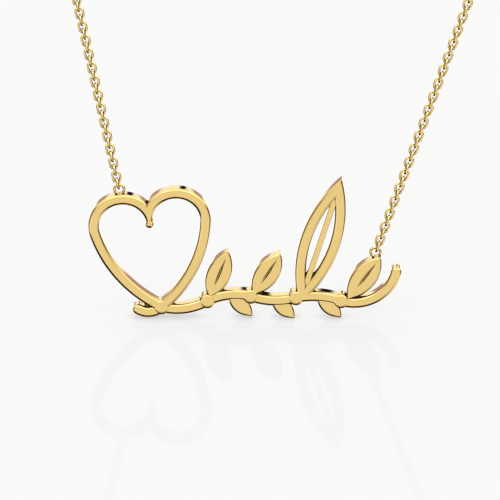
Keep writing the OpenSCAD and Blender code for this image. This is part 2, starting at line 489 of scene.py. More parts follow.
class Nodes:
    """The node tree of a material or of the world, with short ways to add to it."""

    def __init__(self, owner: bpy.types.Material | bpy.types.World) -> None:
        """Starts with an empty tree.

        Args:
            owner: the material or the world.
        """
        owner.use_nodes = True
        self.tree = owner.node_tree
        self.tree.nodes.clear()

    def add(self, kind: str, feeds: dict[str | int, Feed],
            **choices: str | int) -> bpy.types.bpy_prop_collection:
        """Adds a node and joins it to the ones that feed it.

        Args:
            kind: its type, without ShaderNode in front.
            feeds: for each input, its value or the output that it takes.
            choices: the node's own options.

        Returns:
            The node's outputs.
        """
        node = self.tree.nodes.new("ShaderNode" + kind)
        for name, choice in choices.items():
            setattr(node, name, choice)
        for name, feed in feeds.items():
            if isinstance(feed, bpy.types.NodeSocket):
                self.tree.links.new(feed, node.inputs[name])
            else:
                node.inputs[name].default_value = feed
        return node.outputs

    def ramp(self, value: bpy.types.NodeSocket, low: float, high: float, start: float,
             stop: float) -> bpy.types.NodeSocket:
        """Adds a smooth step: start where value is up to low, stop where it is from high."""
        feeds = {"Value": value, "From Min": low, "From Max": high, "To Min": start, "To Max": stop}
        return self.add("MapRange", feeds, interpolation_type="SMOOTHSTEP")[0]


@dataclass(frozen=True)
class GoldFinish:
    """Polished yellow gold with the fine marks of a polishing wheel.

    Attributes:
        name: the material's name.
        colour: reflectance, linear.
        roughness: roughness of the clean polish.
        patchiness: how much the roughness varies from place to place.
        marks: strength of the fine marks.
        marks_per_m: how fine they are.
        marks_deep: their depth, in metres.
        patches_per_m: how fine the patches of different roughness are.
    """

    name: str
    colour: Triple
    roughness: float
    patchiness: float
    marks: float
    marks_per_m: float
    marks_deep: float = 0.00002
    patches_per_m: float = 420

    def material(self) -> bpy.types.Material:
        """Builds the material: a metal whose roughness and surface follow two noises.

        Returns:
            The material.
        """
        made = bpy.data.materials.new(self.name)
        nodes = Nodes(made)
        place = nodes.add("TexCoord", {})["Object"]
        patches = nodes.add("TexNoise", {"Vector": place, "Scale": self.patches_per_m, "Detail": 3})
        rough = nodes.add("MapRange", {
            "Value": patches["Fac"], "To Min": self.roughness - self.patchiness,
            "To Max": self.roughness + self.patchiness})
        marks = nodes.add("TexNoise", {
            "Vector": place, "Scale": self.marks_per_m, "Detail": 5, "Distortion": 1.5})
        bump = nodes.add("Bump", {
            "Height": marks["Fac"], "Strength": self.marks, "Distance": self.marks_deep})
        metal = nodes.add("BsdfPrincipled", {
            "Base Color": (*self.colour, 1), "Metallic": 1, "Roughness": rough["Result"],
            "Normal": bump["Normal"]})
        nodes.add("OutputMaterial", {"Surface": metal["BSDF"]})
        return made


@dataclass(frozen=True)
class FloorFinish:
    """White gloss board that gives a faint mirror image.

    Attributes:
        white: its diffuse reflectance.
        glow: light of its own, which keeps shadows faint.
        tint: colour of that light.
        mirror: part of the light that it reflects as a mirror does.
        roughness: blur of the mirror image.
        near: how far the painted contact shadow of what stands on it reaches, in metres.
        deepest: part of the glow that is left in the darkest painted shadow.
    """

    white: float = 0.15
    glow: float = 0.799
    tint: Triple = (1.0, 0.994, 0.978)
    mirror: float = 0.028
    roughness: float = 0.06
    near: float = 0.0013
    deepest: float = 0.7

    def material(self) -> bpy.types.Material:
        """Builds the material: diffuse white, its glow, dimmed by occlusion near what stands on it as
        a painted contact shadow, and a gloss.

        Returns:
            The material.
        """
        made = bpy.data.materials.new("white_board")
        nodes = Nodes(made)
        board = nodes.add("BsdfDiffuse", {"Color": (self.white, self.white, self.white, 1)})
        # Painted contact shadow: occlusion dims the floor's glow where the plate stands close over it
        close = nodes.add("AmbientOcclusion", {"Distance": self.near}, samples=16)
        fade = nodes.add("MapRange", {
            "Value": close["AO"], "To Min": self.glow * self.deepest, "To Max": self.glow})
        glow = nodes.add("Emission", {"Color": (*self.tint, 1), "Strength": fade["Result"]})
        matt = nodes.add("AddShader", {0: board["BSDF"], 1: glow["Emission"]})
        gloss = nodes.add("BsdfGlossy", {"Color": WHITE, "Roughness": self.roughness})
        mix = nodes.add("MixShader", {"Fac": self.mirror, 1: matt["Shader"], 2: gloss["BSDF"]})
        nodes.add("OutputMaterial", {"Surface": mix["Shader"]})
        return made


# The plate

@dataclass
class Leaf:
    """One leaf of the vine: two arcs that cross at its foot and at its tip.

    Attributes:
        foot: where it springs from the vine.
        length: from foot to tip.
        angle: direction in degrees.
        half: half its width.
        open: whether it is an outline with a rib, and not full.
    """

    foot: Pair
    length: float
    angle: float
    half: float
    open: bool = False

    @property
    def radius(self) -> float:
        """Radius of its two arcs: (length squared / 4 + half squared) / (2 * half)."""
        return (self.length ** 2 / 4 + self.half ** 2) / (2 * self.half)

    def place(self, rings: np.ndarray) -> np.ndarray:
        """Turns the leaf about its foot and takes it to the vine."""
        return laid(rings, self.angle, self.foot)


@dataclass
class Plate:
    """The openwork plate: an outlined heart and a leafy vine between two eyelets.

    Attributes:
        line_w, thick, bevel: width of every line, thickness, and radius of the rounded edges.
        lobe_r, lean: radius of the heart's rounds to the line's middle, and its lean to the left.
        knot_d, bead_d: diameters of the vine's knots and of the bead in the heart's cleft.
        half_tip: half the angle that a side's arc has left to the foot.
        lobe_from, lobe_to: angles from the top where a lobe turns into the side, and where it
            reaches the cleft.
        cleft_past: how far a lobe's arc runs on past the cleft, where it is cut off.
        heart_at: the heart's foot.
        vine, vine_bow: the vine's knots and its end, and how far each stretch bows upwards.
        curl_end, curl_bow: loose end of the curl on the left, and how far the curl bows.
        inset: how far from a knot's middle its lines stop.
        vein_w, vein_deep: width and depth of a full leaf's vein.
        vein_rim: distance from the vein to the next place across the leaf.
        vein_fades: parts of the leaf's length in which the vein starts, and stops.
        shortest_veined: length from which a full leaf has a vein.
        rib_w, rib_bevel: width of the open leaf's rib, and radius of its rounded edges.
        rib_inset: how far from the leaf's points the rib ends.
        leaf_places, vein_places, rib_places: places along a full leaf, across half its vein,
            and along the rib.
        heart_up, knot_up, bead_up: how far these stand over the plate's faces.
        bead_down: how far the bead sits below the lobes' middles.
        leaf_down, open_leaf_down, rib_down: how far the full leaves, the open leaf's outline
            and its rib lie under the plate's faces.
        ring_wire, ring_bore: thickness of an eyelet's wire, and its hole.
        left_eyelet, right_eyelet: angles of the eyelets on the left lobe and on the last leaf.
        middle: u that lies at the row's x = 0.
        reach, drop: distances from the nape forward to the plate and down to its foot.
        leaves: the leaves, from left to right.
    """

    line_w: float = 1.3
    thick: float = 1.5
    bevel: float = 0.3
    lobe_r: float = 3.5
    lean: float = 7
    knot_d: float = 1.9
    bead_d: float = 1.0
    half_tip: float = 55
    lobe_from: float = 100
    lobe_to: float = -66
    cleft_past: float = 24
    heart_at: Pair = (9.3, 1.4)
    vine: tuple[Pair, ...] = (
        (9.3, 1.4), (14.8, 2.2), (20.0, 2.8), (25.4, 2.6), (30.8, 2.2), (37.4, 6.0))
    vine_bow: tuple[float, ...] = (-0.6, 0.5, -0.45, 0.4, -1.7)
    curl_end: Pair = (6.5, 1.1)
    curl_bow: float = -0.5
    inset: float = 0.5
    vein_w: float = 0.4
    vein_deep: float = 0.17
    vein_rim: float = 0.05
    vein_fades: tuple[Pair, Pair] = ((0.24, 0.44), (0.6, 0.9))
    shortest_veined: float = 5
    rib_w: float = 0.7
    rib_bevel: float = 0.1
    rib_inset: float = 0.8
    leaf_places: int = 56
    vein_places: int = 9
    rib_places: int = 24
    heart_up: float = 0.01
    knot_up: float = 0.03
    bead_up: float = 0.02
    bead_down: float = 0.1
    leaf_down: float = 0.02
    open_leaf_down: float = 0.01
    rib_down: float = 0.1
    ring_wire: float = RING_WIRE
    ring_bore: float = RING_BORE
    left_eyelet: float = 88
    right_eyelet: float = 49.5
    middle: float = 19
    reach: float = REACH
    drop: float = DROP
    leaves: list[Leaf] = field(default_factory=lambda: [
        Leaf((15.0, 2.6), 6.6, 69, 1.45), Leaf((17.4, 3.0), 3.9, -44, 1.0),
        Leaf((20.3, 3.0), 6.4, 59, 1.45), Leaf((22.6, 2.6), 3.7, -44, 1.0),
        Leaf((26.2, 3.0), 14.5, 73, 1.75, True), Leaf((28.0, 2.9), 4.0, -44, 1.0),
        Leaf((31.6, 2.4), 6.9, 55, 1.5)])

    @property
    def side_r(self) -> float:
        """Radius of the heart's long sides, which meet the lobes without a kink."""
        return round(self.lobe_r * (sine(self.lobe_from) - sine(self.lobe_to))
                     / (sine(self.lobe_from) - cosine(self.half_tip)), 3)

    @property
    def lobe_at(self) -> np.ndarray:
        """Middle of the left lobe, from the heart's foot."""
        side = self.side_r * (sine(self.half_tip) + cosine(self.lobe_from))
        return np.array([self.lobe_r * sine(self.lobe_to),
                         side - self.lobe_r * cosine(self.lobe_from)])

    @property
    def eyelet_r(self) -> float:
        """Radius of an eyelet, to its wire's middle."""
        return (self.ring_bore + self.ring_wire) / 2

    def to_row(self, points: np.ndarray) -> np.ndarray:
        """From the plate's plane to the row's frame: (u - middle, -reach - h, v - drop)."""
        return np.stack([points[..., 0] - self.middle, -self.reach - points[..., 2],
                         points[..., 1] - self.drop], -1)

    def tilted(self, points: np.ndarray) -> np.ndarray:
        """From the heart's own frame, foot at the origin, to the plate's plane."""
        return laid(points, self.lean, self.heart_at)

    def lines(self, path: np.ndarray, normal: np.ndarray, ends: tuple[End, End], up: float = 0,
              cut: tuple[np.ndarray, np.ndarray] | None = None) -> np.ndarray:
        """Rings of a line of the plate, up proud of both faces, so that crossing lines stay apart."""
        half = np.full(len(path), self.line_w / 2)
        return ribbon(path, normal, half, self.thick + 2 * up, self.bevel, ends, cut=cut)

    def heart(self) -> Shell:
        """The outlined heart, whose two halves meet on its mirror line.

        The left half follows the lobe's circle from the cleft to the widest place, then the
        side's larger circle down to the foot. What passes the mirror line is cut off.

        Returns:
            The shell.
        """
        first = 90 + self.lobe_to - self.cleft_past
        lobe, lobe_out = arc(self.lobe_at, self.lobe_r, first, 90 + self.lobe_from)
        centre = self.lobe_at + polar(self.side_r - self.lobe_r, self.lobe_from - 90)
        stop = 180 + self.half_tip - math.degrees(self.inset / self.side_r)
        side, side_out = arc(centre, self.side_r, 90 + self.lobe_from, stop)
        path, out = np.concatenate([lobe, side[1:]]), np.concatenate([lobe_out, side_out[1:]])
        cut = cut_range(path[:, 0], out[:, 0])
        rings = self.lines(path, out, (End.CUT, End.CUT), self.heart_up, cut)
        return with_mirror(swept(rings, caps=(True, True)), 0).moved(self.tilted)

    def bowed(self, a: Pair, b: Pair, bow: float, loose: bool) -> Shell:
        """A line from a to b that bows to its left, or to its right where bow is negative.

        It follows a circle of radius (chord squared / 4 + bow squared) / (2 * bow), and stops
        short of a knot. A loose end at a is round.

        Args:
            a: start.
            b: end.
            bow: how far it bows.
            loose: whether it ends free at a.

        Returns:
            The shell.
        """
        a, b = np.array(a), np.array(b)
        chord = np.linalg.norm(b - a)
        along = (b - a) / chord
        left = np.array([-along[1], along[0]]) * math.copysign(1, bow)
        radius = (chord ** 2 / 4 + bow ** 2) / (2 * abs(bow))
        half = math.asin(chord / 2 / radius)
        short = self.inset / radius
        first = -half if loose else short - half
        q = np.linspace(first, half - short, int(chord / STEP) + 2)[:, None]
        out = np.sin(q) * along + np.cos(q) * left
        path = (a + b) / 2 - (radius - abs(bow)) * left + radius * out
        ends = (End.ROUND if loose else End.CUT, End.CUT)
        return swept(self.lines(path, out, ends), caps=(not loose, True))

    def knot(self, at: Pair, width: float, up: float) -> Shell:
        """A round knot: the line's section turned about its middle, with closed poles.

        Args:
            at: its middle.
            width: its diameter.
            up: how far it stands proud of both of the plate's faces.

        Returns:
            The shell.
        """
        across, height = half_section(np.array([width / 2]), self.thick + 2 * up, self.bevel)
        rings = turned(across[0], height[0])
        rings[..., :2] += np.array(at)
        return swept(rings)

    def full_leaf(self, leaf: Leaf) -> Shell:
        """A full leaf with an engraved vein.

        Its half width at s along it is the arc's height, sqrt(radius squared minus (s - length
        / 2) squared) minus (radius - half). The vein is a groove of depth d * (1 + cos(180 *
        v / g)) / 2 at v from its middle. Its depth d and half width g shrink to both ends.

        Args:
            leaf: the leaf.

        Returns:
            The shell.
        """
        s = leaf.length * (1 - np.cos(np.linspace(0, math.pi, self.leaf_places))) / 2
        r = leaf.radius
        half = np.sqrt(r ** 2 - (s - leaf.length / 2) ** 2) - (r - leaf.half)
        half[[0, -1]] = 0
        groove = self.vein_w / 2
        thick = self.thick - 2 * self.leaf_down
        front = (*np.linspace(0, groove, self.vein_places), groove + self.vein_rim)
        rings = ribbon(*along_u(s), half, thick, self.bevel, (End.CLOSED, End.CLOSED), front)
        if leaf.length > self.shortest_veined:
            part = s / leaf.length
            starts, stops = self.vein_fades
            fade = (np.clip((part - starts[0]) / (starts[1] - starts[0]), 0, 1)
                    * np.clip((stops[1] - part) / (stops[1] - stops[0]), 0, 1))
            bend = np.minimum(np.abs(rings[..., 1]) / np.maximum(groove * fade[:, None], SAME), 1)
            depth = self.vein_deep * (1 + np.cos(math.pi * bend)) / 2 * fade[:, None]
            rings[..., 2] -= np.where(rings[..., 2] > thick / 2 - self.leaf_down / 2, depth, 0)
        return swept(leaf.place(rings))

    def open_leaf(self, leaf: Leaf) -> list[Shell]:
        """The tall leaf: two arcs of the plate's line, cut on its middle line, and a rib.

        Args:
            leaf: the leaf.

        Returns:
            The shell of the outline and that of the rib.
        """
        r = leaf.radius
        reach = math.degrees(math.acos((r - leaf.half) / (r + self.line_w / 2)))
        path, out = arc(np.array([leaf.length / 2, leaf.half - r]), r, 90 + reach, 90 - reach)
        cut = cut_range(-path[:, 1], -out[:, 1])
        rings = self.lines(path, out, (End.CUT, End.CUT), -self.open_leaf_down, cut)
        outline = with_mirror(swept(rings, caps=(True, True)), 1).moved(leaf.place)
        s = np.linspace(self.rib_inset, leaf.length - self.rib_inset, self.rib_places)
        half, thick = np.full(len(s), self.rib_w / 2), self.thick - 2 * self.rib_down
        rib = ribbon(*along_u(s), half, thick, self.rib_bevel, (End.CUT, End.CUT))
        return [outline, swept(leaf.place(rib), caps=(True, True))]

    def eyelets(self) -> dict[Side, np.ndarray]:
        """Places of the two eyelets, on the left lobe's outer edge and on the last leaf's.

        Returns:
            Their middles in the plate's plane.
        """
        out = self.ring_bore / 2 + SOLDER
        left = self.lobe_at + polar(self.lobe_r + self.line_w / 2 + out, self.left_eyelet)
        last = self.leaves[-1]
        middle = np.array([last.length / 2, last.half - last.radius])
        right = middle + polar(last.radius + out, self.right_eyelet)
        return {Side.LEFT: self.tilted(np.append(left, 0.0)),
                Side.RIGHT: last.place(np.append(right, 0.0))}

    def pull(self, side: Side, spread: float) -> np.ndarray:
        """Where a chain pulls, in the row's frame: the middle of the eyelet's wire in line with it."""
        out = self.eyelet_r * np.array([side.value * sine(spread), 0.0, cosine(spread)])
        return self.to_row(self.eyelets()[side]) + out

    def build(self, finish: bpy.types.Material) -> bpy.types.Object:
        """Builds the whole plate as one soldered piece that swings on the chain's ends.

        Args:
            finish: its gold.

        Returns:
            The object.
        """
        shells = [self.heart(), self.bowed(self.curl_end, self.heart_at, self.curl_bow, True)]
        cleft = self.tilted(np.array([0.0, self.lobe_at[1] - self.bead_down, 0.0]))
        shells.append(self.knot(cleft[:2], self.bead_d, self.bead_up))
        for i, bow in enumerate(self.vine_bow):
            loose = i == len(self.vine_bow) - 1
            shells.append(self.bowed(self.vine[i + 1], self.vine[i], -bow, loose))
            shells.append(self.knot(self.vine[i], self.knot_d, self.knot_up))
        for leaf in self.leaves:
            shells += self.open_leaf(leaf) if leaf.open else [self.full_leaf(leaf)]
        for at in self.eyelets().values():
            shells.append(round_ring(at[:2], self.eyelet_r, self.ring_wire))
        piece = put("plate", [shell.moved(self.to_row) for shell in shells], finish)
        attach(piece, "plate")
        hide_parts("nameplate")
        return piece


# The chain

@dataclass
class Chain:
    """One side of the cable chain, from the plate's eyelet to the clasp.

    Attributes:
        side: which side.
        pull: middle of the eyelet's wire, in the row's frame.
        count: links in the straight run beside the plate.
        spread, lean: angles that this run spreads outwards and leans back.
        way: the hidden stretch's first points, as parts of neck_w / 2, reach and drop.
        hold: x of the wire's middle of the ring that the last link holds.
        last_wide: direction across the last link.
        wire, link_len: thickness of a link's wire, and its length outside.
        gap: space between a link and what passes through it.
        ring_wire: thickness of the wire of the eyelets and the end ring.
        strand_gap: space at each end of the part's hidden strand.
        neck_w: width of the loop at the neck's sides.
        reach, drop: distances from the nape forward to the plate and down to its foot.
        back_way: the hidden stretch's other points, alike on both sides.
        lead: distance to the points that give the curve its direction where it starts.
        curve_places: places between two points of the curve.
        fixed: direction on which the hidden links' frame is built, for the right side.
        sides: places round the wire.
        near_places, far_places: places along the wire of a link beside the plate, and of a
            hidden one.
    """

    side: Side
    pull: np.ndarray
    count: int
    spread: float
    way: tuple[Triple, ...]
    hold: float
    last_wide: Triple
    lean: float = 5
    wire: float = 0.33
    link_len: float = 1.62
    gap: float = GAP
    ring_wire: float = RING_WIRE
    strand_gap: float = 0.15
    neck_w: float = 118
    reach: float = REACH
    drop: float = DROP
    back_way: tuple[Triple, ...] = (
        (0.915, 0.665, 0.16), (0.99, 0.475, 0.095), (0.955, 0.295, 0.048),
        (0.74, 0.12, 0.015), (0.41, 0.018, 0.0))
    lead: float = 7
    curve_places: int = 32
    fixed: Triple = (-0.5, -0.6, 0.6)
    sides: int = 6
    near_places: int = 16
    far_places: int = 12

    @property
    def bow_r(self) -> float:
        """Radius of a link's round ends, to the wire's middle."""
        return (max(self.ring_wire, self.wire) + 2 * self.gap + self.wire) / 2

    @property
    def pitch(self) -> float:
        """Distance from link to link."""
        return self.link_len - 2 * self.wire - self.gap

    @property
    def first(self) -> float:
        """From the eyelet's wire to the middle of the first link."""
        return self.link_len / 2 - self.wire - self.ring_wire / 2 - self.gap

    @property
    def strand_end(self) -> float:
        """Where the hidden stretch of the part's source ends, beside the clasp."""
        return self.hold + self.side.value * (self.ring_wire / 2 + self.strand_gap)

    @property
    def last_centre(self) -> float:
        """Middle of the last link, which holds the clasp's eye or the end ring."""
        return self.hold + self.side.value * self.first

    def axes(self) -> np.ndarray:
        """Axes of the straight run beside the plate.

        A turn about X by the lean comes first, then one about Y by the spread.

        Returns:
            Three columns: across it, towards the back and along it.
        """
        a, b = -self.lean, self.side.value * self.spread
        about_x = np.array([[1, 0, 0], [0, cosine(a), -sine(a)], [0, sine(a), cosine(a)]])
        about_y = np.array([[cosine(b), 0, sine(b)], [0, 1, 0], [-sine(b), 0, cosine(b)]])
        return about_y @ about_x

    def link(self, places: int) -> tuple[np.ndarray, np.ndarray]:
        """One link as a template: two half rounds joined by straight sides.

        At angle a the wire's middle is (bow * cos a, 0, bow * sin a) shifted half a side up or
        down, and the wire's surface is its radius times (cos b * outwards + sin b * across).

        Args:
            places: places along the wire, an even number.

        Returns:
            Corners, p by 3, and faces, f by 4.
        """
        half = (self.link_len - self.wire - 2 * self.bow_r) / 2
        a = np.linspace(0, math.pi, places // 2)
        a = np.concatenate([a, a + math.pi])
        lift = np.repeat([half, -half], places // 2)
        b = all_round(self.sides)
        out = np.stack([np.cos(a), 0 * a, np.sin(a)], -1)[:, None]
        across = np.array([0.0, 1.0, 0.0])
        middle = self.bow_r * out[:, 0] + np.outer(lift, [0.0, 0.0, 1.0])
        skin = self.wire / 2 * (np.cos(b)[:, None] * out + np.sin(b)[:, None] * across)
        return (middle[:, None] + skin).reshape(-1, 3), grid_faces(places, self.sides, True)

    def links(self, centres: np.ndarray, axes: np.ndarray, places: int) -> Shell:
        """Many links at once: each corner of the template times the link's axes, plus its centre.

        Args:
            centres: n by 3.
            axes: n by 3 by 3, with columns wide, thick and long.
            places: places along each link's wire.

        Returns:
            One shell of all of them.
        """
        points, faces = self.link(places)
        placed = np.einsum("nij,pj->npi", axes, points) + centres[:, None]
        faces = faces[None] + (np.arange(len(centres)) * len(points))[:, None, None]
        return Shell(placed.reshape(-1, 3), [faces.reshape(-1, 4)], [0])

    def route(self) -> np.ndarray:
        """The hidden stretch's middle line, through the same points as the part's source.

        Between two points p1 and p2 the curve is half of (2 p1 + (p2 - p0) u + (2 p0 - 5 p1 +
        4 p2 - p3) u squared + (3 p1 - p0 - 3 p2 + p3) u cubed), with u from 0 to 1.

        Returns:
            Points from the last straight link to the one that holds the clasp's ring.
        """
        along = self.axes()[:, 2]
        start = self.pull + (self.first + (self.count - 1) * self.pitch) * along
        tip = start + (self.link_len / 2 + self.strand_gap) * along
        scale = np.array([self.side.value * self.neck_w / 2, -self.reach, -self.drop])
        points = np.array(self.way + self.back_way) * scale
        end = np.array([self.strand_end, 0.0, 0.0])
        mirrored = points[-1] * [-1, 1, 1] + [2 * self.strand_end, 0, 0]
        lead = self.lead * along
        p = np.concatenate([[tip - lead, tip, tip + lead], points, [end, mirrored]])
        u = np.linspace(0, 1, self.curve_places, endpoint=False)[None, :, None]
        p0, p1, p2, p3 = (p[i:len(p) - 3 + i, None] for i in range(4))
        curve = 0.5 * (2 * p1 + (p2 - p0) * u + (2 * p0 - 5 * p1 + 4 * p2 - p3) * u ** 2
                       + (3 * p1 - p0 - 3 * p2 + p3) * u ** 3)
        return np.concatenate([[start], curve.reshape(-1, 3), [end, [self.last_centre, 0.0, 0.0]]])

    def straight(self) -> Shell:
        """The run beside the plate, each link turned a quarter from the one before.

        Returns:
            One shell of all its links.
        """
        axes = self.axes()
        i = np.arange(self.count)
        centres = self.pull + np.outer(self.first + i * self.pitch, axes[:, 2])
        quarter = np.stack([axes[:, 1], -axes[:, 0], axes[:, 2]], -1)
        each = np.where((i % 2 == 0)[:, None, None], quarter, axes)
        return self.links(centres, each, self.near_places)

    def hidden(self) -> Shell:
        """The long run round the neck, evenly spaced and gently twisted.

        The links' frame is built on the curve's direction t and a fixed vector: s is t crossed
        with it, v is t crossed with s. An angle that grows evenly along the curve turns the
        frame, so that the first link follows the straight run and the last one takes the ring.

        Returns:
            One shell of all the links.
        """
        line = self.route()
        far = np.concatenate([[0], np.cumsum(np.linalg.norm(np.diff(line, axis=0), axis=1))])
        count = round(far[-1] / self.pitch)
        at = np.linspace(0, far[-1], count + 1)
        centres = np.stack([np.interp(at, far, line[:, k]) for k in range(3)], -1)
        t = np.gradient(centres, axis=0)
        t[0], t[-1] = self.axes()[:, 2], [-self.side.value, 0, 0]
        t /= np.linalg.norm(t, axis=1, keepdims=True)
        s = np.cross(t, np.array(self.fixed) * [self.side.value, 1, 1])
        s /= np.linalg.norm(s, axis=1, keepdims=True)
        v = np.cross(t, s)
        across = self.axes()[:, 0]
        wide = np.array(self.last_wide)
        begin = math.atan2(across @ v[0], across @ s[0])
        finish = math.atan2(wide @ v[-1], wide @ s[-1])
        if (self.count - 1 + count) % 2 == 0:
            finish -= math.pi / 2
        finish = begin + (finish - begin + math.pi / 2) % math.pi - math.pi / 2
        even = (self.count + np.arange(count)) % 2 == 0
        q = begin + (finish - begin) * at[1:] / far[-1] + np.where(even, math.pi / 2, 0)
        q = q[:, None]
        x = np.cos(q) * s[1:] + np.sin(q) * v[1:]
        y = np.cross(t[1:], x)
        LOG.info("%s chain: %d hidden links, pitch %.3f mm, twist %.0f degrees",
                 self.side.name.lower(), count, far[-1] / count, math.degrees(finish - begin))
        return self.links(centres[1:], np.stack([x, y, t[1:]], -1), self.far_places)

    def build(self, finish: bpy.types.Material) -> list[bpy.types.Object]:
        """Builds both runs of links.

        Args:
            finish: their gold.

        Returns:
            The two objects.
        """
        name = self.side.name.lower()
        pieces = [put(name + "_front_links", [self.straight()], finish),
                  put(name + "_neck_links", [self.hidden()], finish)]
        for piece, node in zip(pieces, (name + "_links", name + "_chain")):
            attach(piece, "loop")
            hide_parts(node)
        return pieces


# The clasp

@dataclass
class Clasp:
    """The spring ring with its eye, its bolt and the peg that slides it, and the end ring.

    Attributes:
        clasp_d, tube: outer diameter of the spring ring, and thickness of its tube.
        end_bore: hole in the end ring.
        ring_wire: thickness of the wire of the eye and the end ring.
        ring_bore: hole in the eye.
        gap: space between the end ring and the tube.
        bolt: radius of the bolt.
        gate, gate_edge: angles between which the bolt shows, and in which the tube falls to it.
        slot, slot_edge: angles between which the slot runs, and in which its ends deepen.
        slot_half, slot_wall: half the slot's width and the width in which its walls fall, as
            angles round the tube in radians.
        slot_deep: its depth.
        peg_at: angle at which the peg stands.
        peg_up: heights of the peg's profile over the tube's middle, as parts of the tube.
        peg_r: radii of that profile.
        places: places along the tube and round it.
        peg_sides, end_places: places round the peg, and along the end ring.
    """

    clasp_d: float = 5.5
    tube: float = 1.2
    end_bore: float = 2.4
    ring_wire: float = RING_WIRE
    ring_bore: float = RING_BORE
    gap: float = GAP
    bolt: float = 0.42
    gate: Pair = (112, 148)
    gate_edge: float = 2.5
    slot: Pair = (54, 92)
    slot_edge: float = 2
    slot_half: float = 0.42
    slot_wall: float = 0.12
    slot_deep: float = 0.13
    peg_at: float = 60
    peg_up: tuple[float, ...] = (0.2, 0.2, 0.62, 0.7, 0.75, 0.78, 0.78, 0.78)
    peg_r: tuple[float, ...] = (0.0, 0.24, 0.24, 0.35, 0.35, 0.3, 0.2, 0.0)
    places: tuple[int, int] = (240, 40)
    peg_sides: int = 24
    end_places: int = 64

    @property
    def radius(self) -> float:
        """Radius of the spring ring to its tube's middle."""
        return (self.clasp_d - self.tube) / 2

    @property
    def eye_at(self) -> Pair:
        """Middle and radius of the soldered eye."""
        return (self.clasp_d / 2 + self.ring_bore / 2 + SOLDER,
                (self.ring_bore + self.ring_wire) / 2)

    @property
    def ring_at(self) -> Pair:
        """Middle and radius of the end ring."""
        return (self.tube / 2 + self.gap - self.radius - self.end_bore / 2,
                (self.end_bore + self.ring_wire) / 2)

    def holds(self) -> dict[Side, float]:
        """Where each chain's last link holds the middle of the wire of its ring."""
        ring, eye = self.ring_at, self.eye_at
        return {Side.LEFT: ring[0] - ring[1], Side.RIGHT: eye[0] + eye[1]}

    def upright(self, points: np.ndarray) -> np.ndarray:
        """From the clasp's plane to the row's frame, where its axis points to the front."""
        return np.stack([points[..., 0], -points[..., 2], points[..., 1]], -1)

    def body(self) -> Shell:
        """The tube, which is open at the gate, where the thinner bolt shows, and slotted.

        The tube's radius falls to the bolt's between the gate's two angles, and a groove runs
        along its outside between the slot's.

        Returns:
            The shell.
        """
        around, sides = self.places
        a = np.degrees(all_round(around))[:, None]
        b = np.linspace(-math.pi, math.pi, sides, endpoint=False)[None, :]
        b = np.roll(b, sides // 2, 1)
        gate = window(a, self.gate, self.gate_edge)
        across = eased((self.slot_half - np.abs(b)) / self.slot_wall)
        groove = window(a, self.slot, self.slot_edge) * across
        wire = self.tube / 2 - gate * (self.tube / 2 - self.bolt) - self.slot_deep * groove
        return swept(ring_grid(self.radius, wire, around, sides), wrap=True)

    def peg(self) -> Shell:
        """The round-headed peg that slides the bolt: a profile turned about a line out of the slot.

        Returns:
            The shell.
        """
        heights = self.radius + self.tube * np.array(self.peg_up)
        rings = turned(np.array(self.peg_r), heights, self.peg_sides)
        out, side = np.append(polar(1, self.peg_at), 0), np.append(polar(1, self.peg_at + 90), 0)
        up = np.array([0.0, 0.0, 1.0])
        return swept(rings[..., 2:] * out + rings[..., :1] * side + rings[..., 1:2] * up)

    def eye(self) -> Shell:
        """The soldered eye that the right chain holds."""
        shift, radius = self.eye_at
        return round_ring((shift, 0), radius, self.ring_wire)

    def end_ring(self) -> Shell:
        """The plain ring on the left chain's end, lying flat."""
        shift, radius = self.ring_at
        return round_ring((shift, 0), radius, self.ring_wire, self.end_places)

    def build(self, finish: bpy.types.Material) -> list[bpy.types.Object]:
        """Builds the clasp and the end ring.

        Args:
            finish: their gold.

        Returns:
            The two objects.
        """
        shells = [shell.moved(self.upright) for shell in (self.body(), self.peg(), self.eye())]
        pieces = [put("spring_ring", shells, finish), put("end_loop", [self.end_ring()], finish)]
        for piece, node in zip(pieces, ("clasp", "end_ring")):
            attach(piece, "loop")
            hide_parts(node)
        return pieces


# The studio

@dataclass(frozen=True)
class Zone:
    """A part of the room as the gold mirrors it.

    Attributes:
        name: what it is.
        colour: its light, linear.
        x: range of the direction's x, to the viewer's right.
        y: range of its y, away from the viewer.
        z: range of its z, upwards.
        soft: half the width of the blur at the ends of each range.
    """

    name: str
    colour: Triple
    x: Pair = (-FAR, FAR)
    y: Pair = (-FAR, FAR)
    z: Pair = (-FAR, FAR)
    soft: float = 0.08

    def share(self, nodes: Nodes, way: bpy.types.bpy_prop_collection) -> bpy.types.NodeSocket:
        """How far a direction lies in the zone: the product of a smooth step at each range's ends.

        Args:
            nodes: the world's tree.
            way: the direction's x, y and z.

        Returns:
            A number from 0 outside to 1 inside.
        """
        part = None
        for value, ends in zip(way, (self.x, self.y, self.z)):
            for edge, start in zip(ends, (0.0, 1.0)):
                if abs(edge) == FAR:
                    continue
                step = nodes.ramp(value, edge - self.soft, edge + self.soft, start, 1 - start)
                if part:
                    step = nodes.add("Math", {0: part, 1: step}, operation="MULTIPLY")[0]
                part = step
        return part


